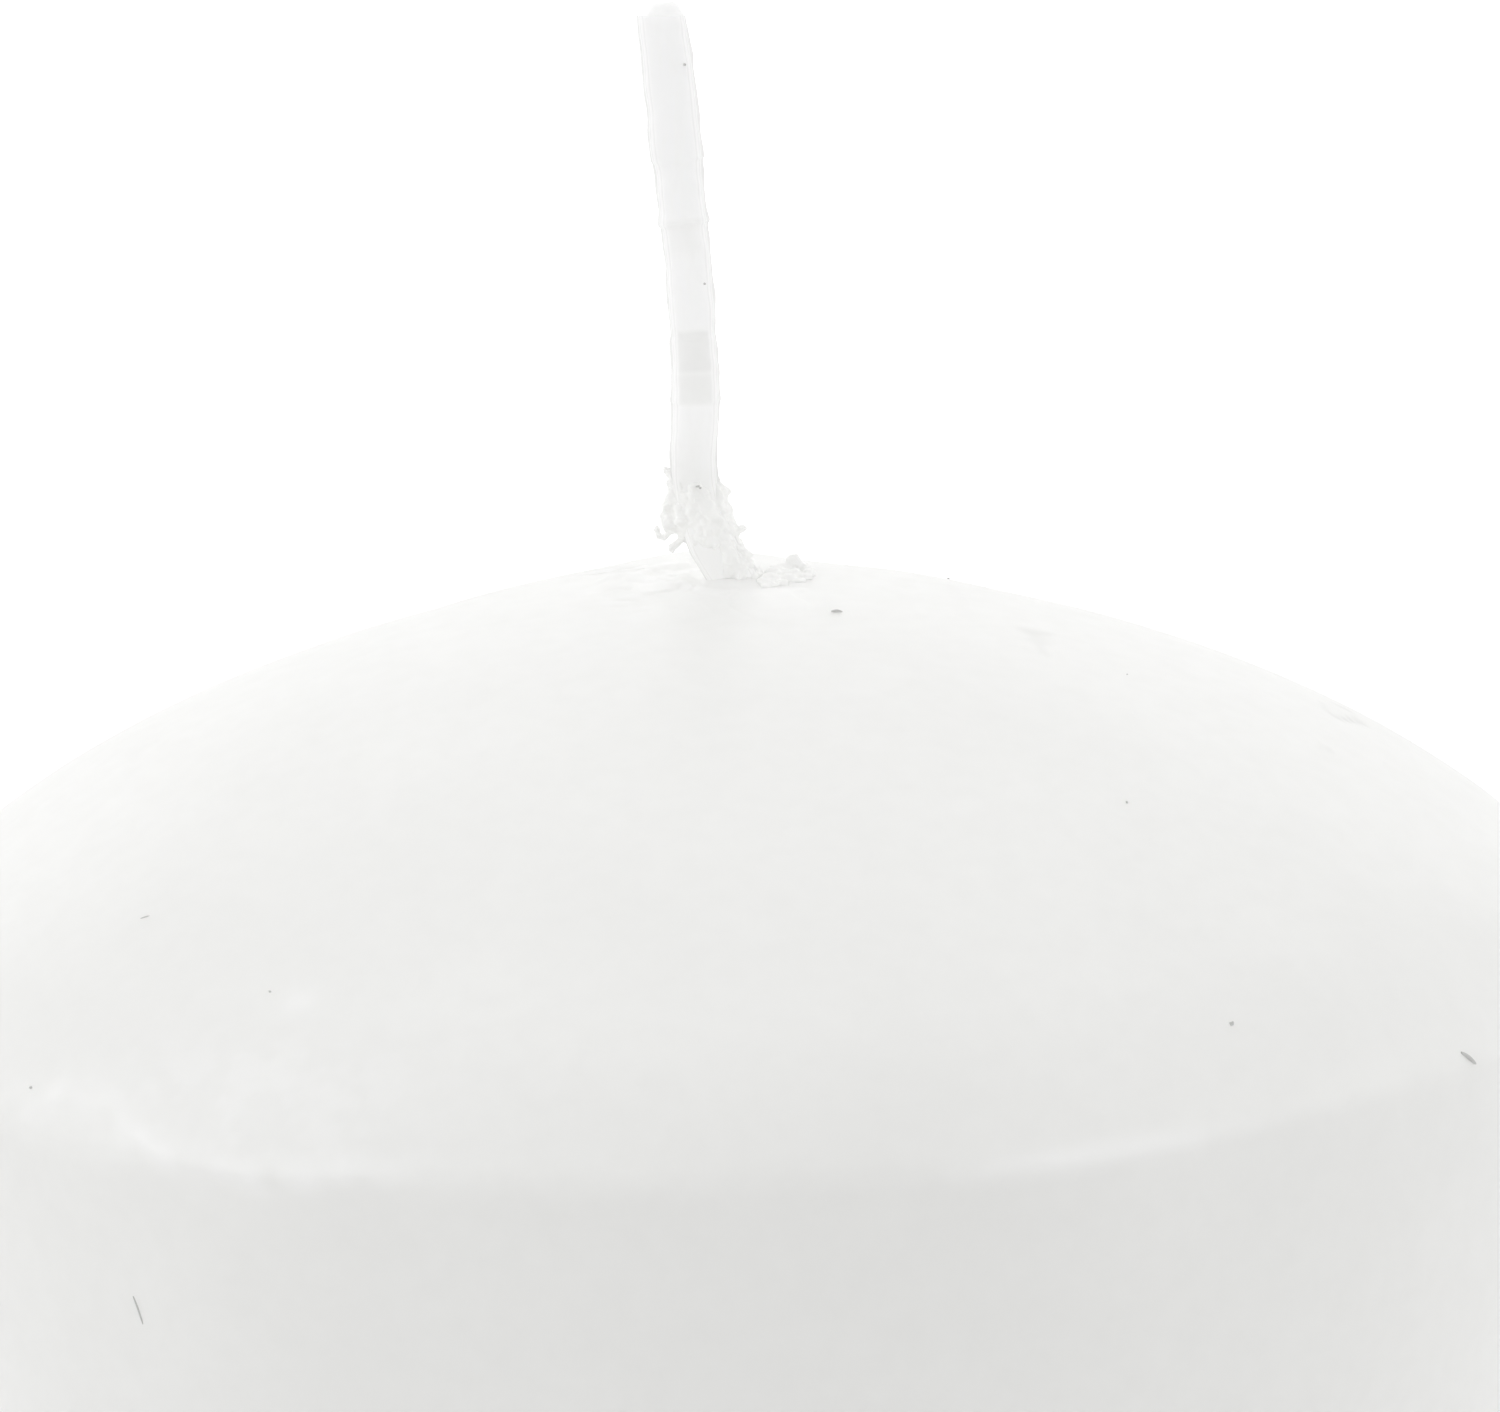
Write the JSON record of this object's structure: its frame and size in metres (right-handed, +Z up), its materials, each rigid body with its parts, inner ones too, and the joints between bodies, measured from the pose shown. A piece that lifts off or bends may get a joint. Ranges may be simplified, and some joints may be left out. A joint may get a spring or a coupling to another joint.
{
  "type": "floating candle",
  "caption": "Small white floating candle: a domed wax body with a soft rim, a tapered wall to a flat base, and a kinked waxed wick.",
  "frame": {"origin": "middle of the flat base, on the surface that the candle stands on", "axes": "+Z up along the candle's axis, -Y the front as pictured, +X to the right"},
  "size_m": [0.045, 0.045, 0.0448],
  "materials": {
    "white_wax": "smooth satin paraffin wax, slightly translucent",
    "waxed_cotton": "plaited cotton under a thin cracked wax coat",
    "wax_crumbs": "broken paraffin wax crumbs",
    "tinned_steel": "bright tinned sheet"
  },
  "bodies": {
    "root": {"wax_body": "white_wax", "wick": "waxed_cotton", "wick_sustainer": "tinned_steel", "wick_crumbs": "wax_crumbs", "dome_crumbs": "wax_crumbs", "wax_flake": "white_wax"}
  },
  "joints": []
}
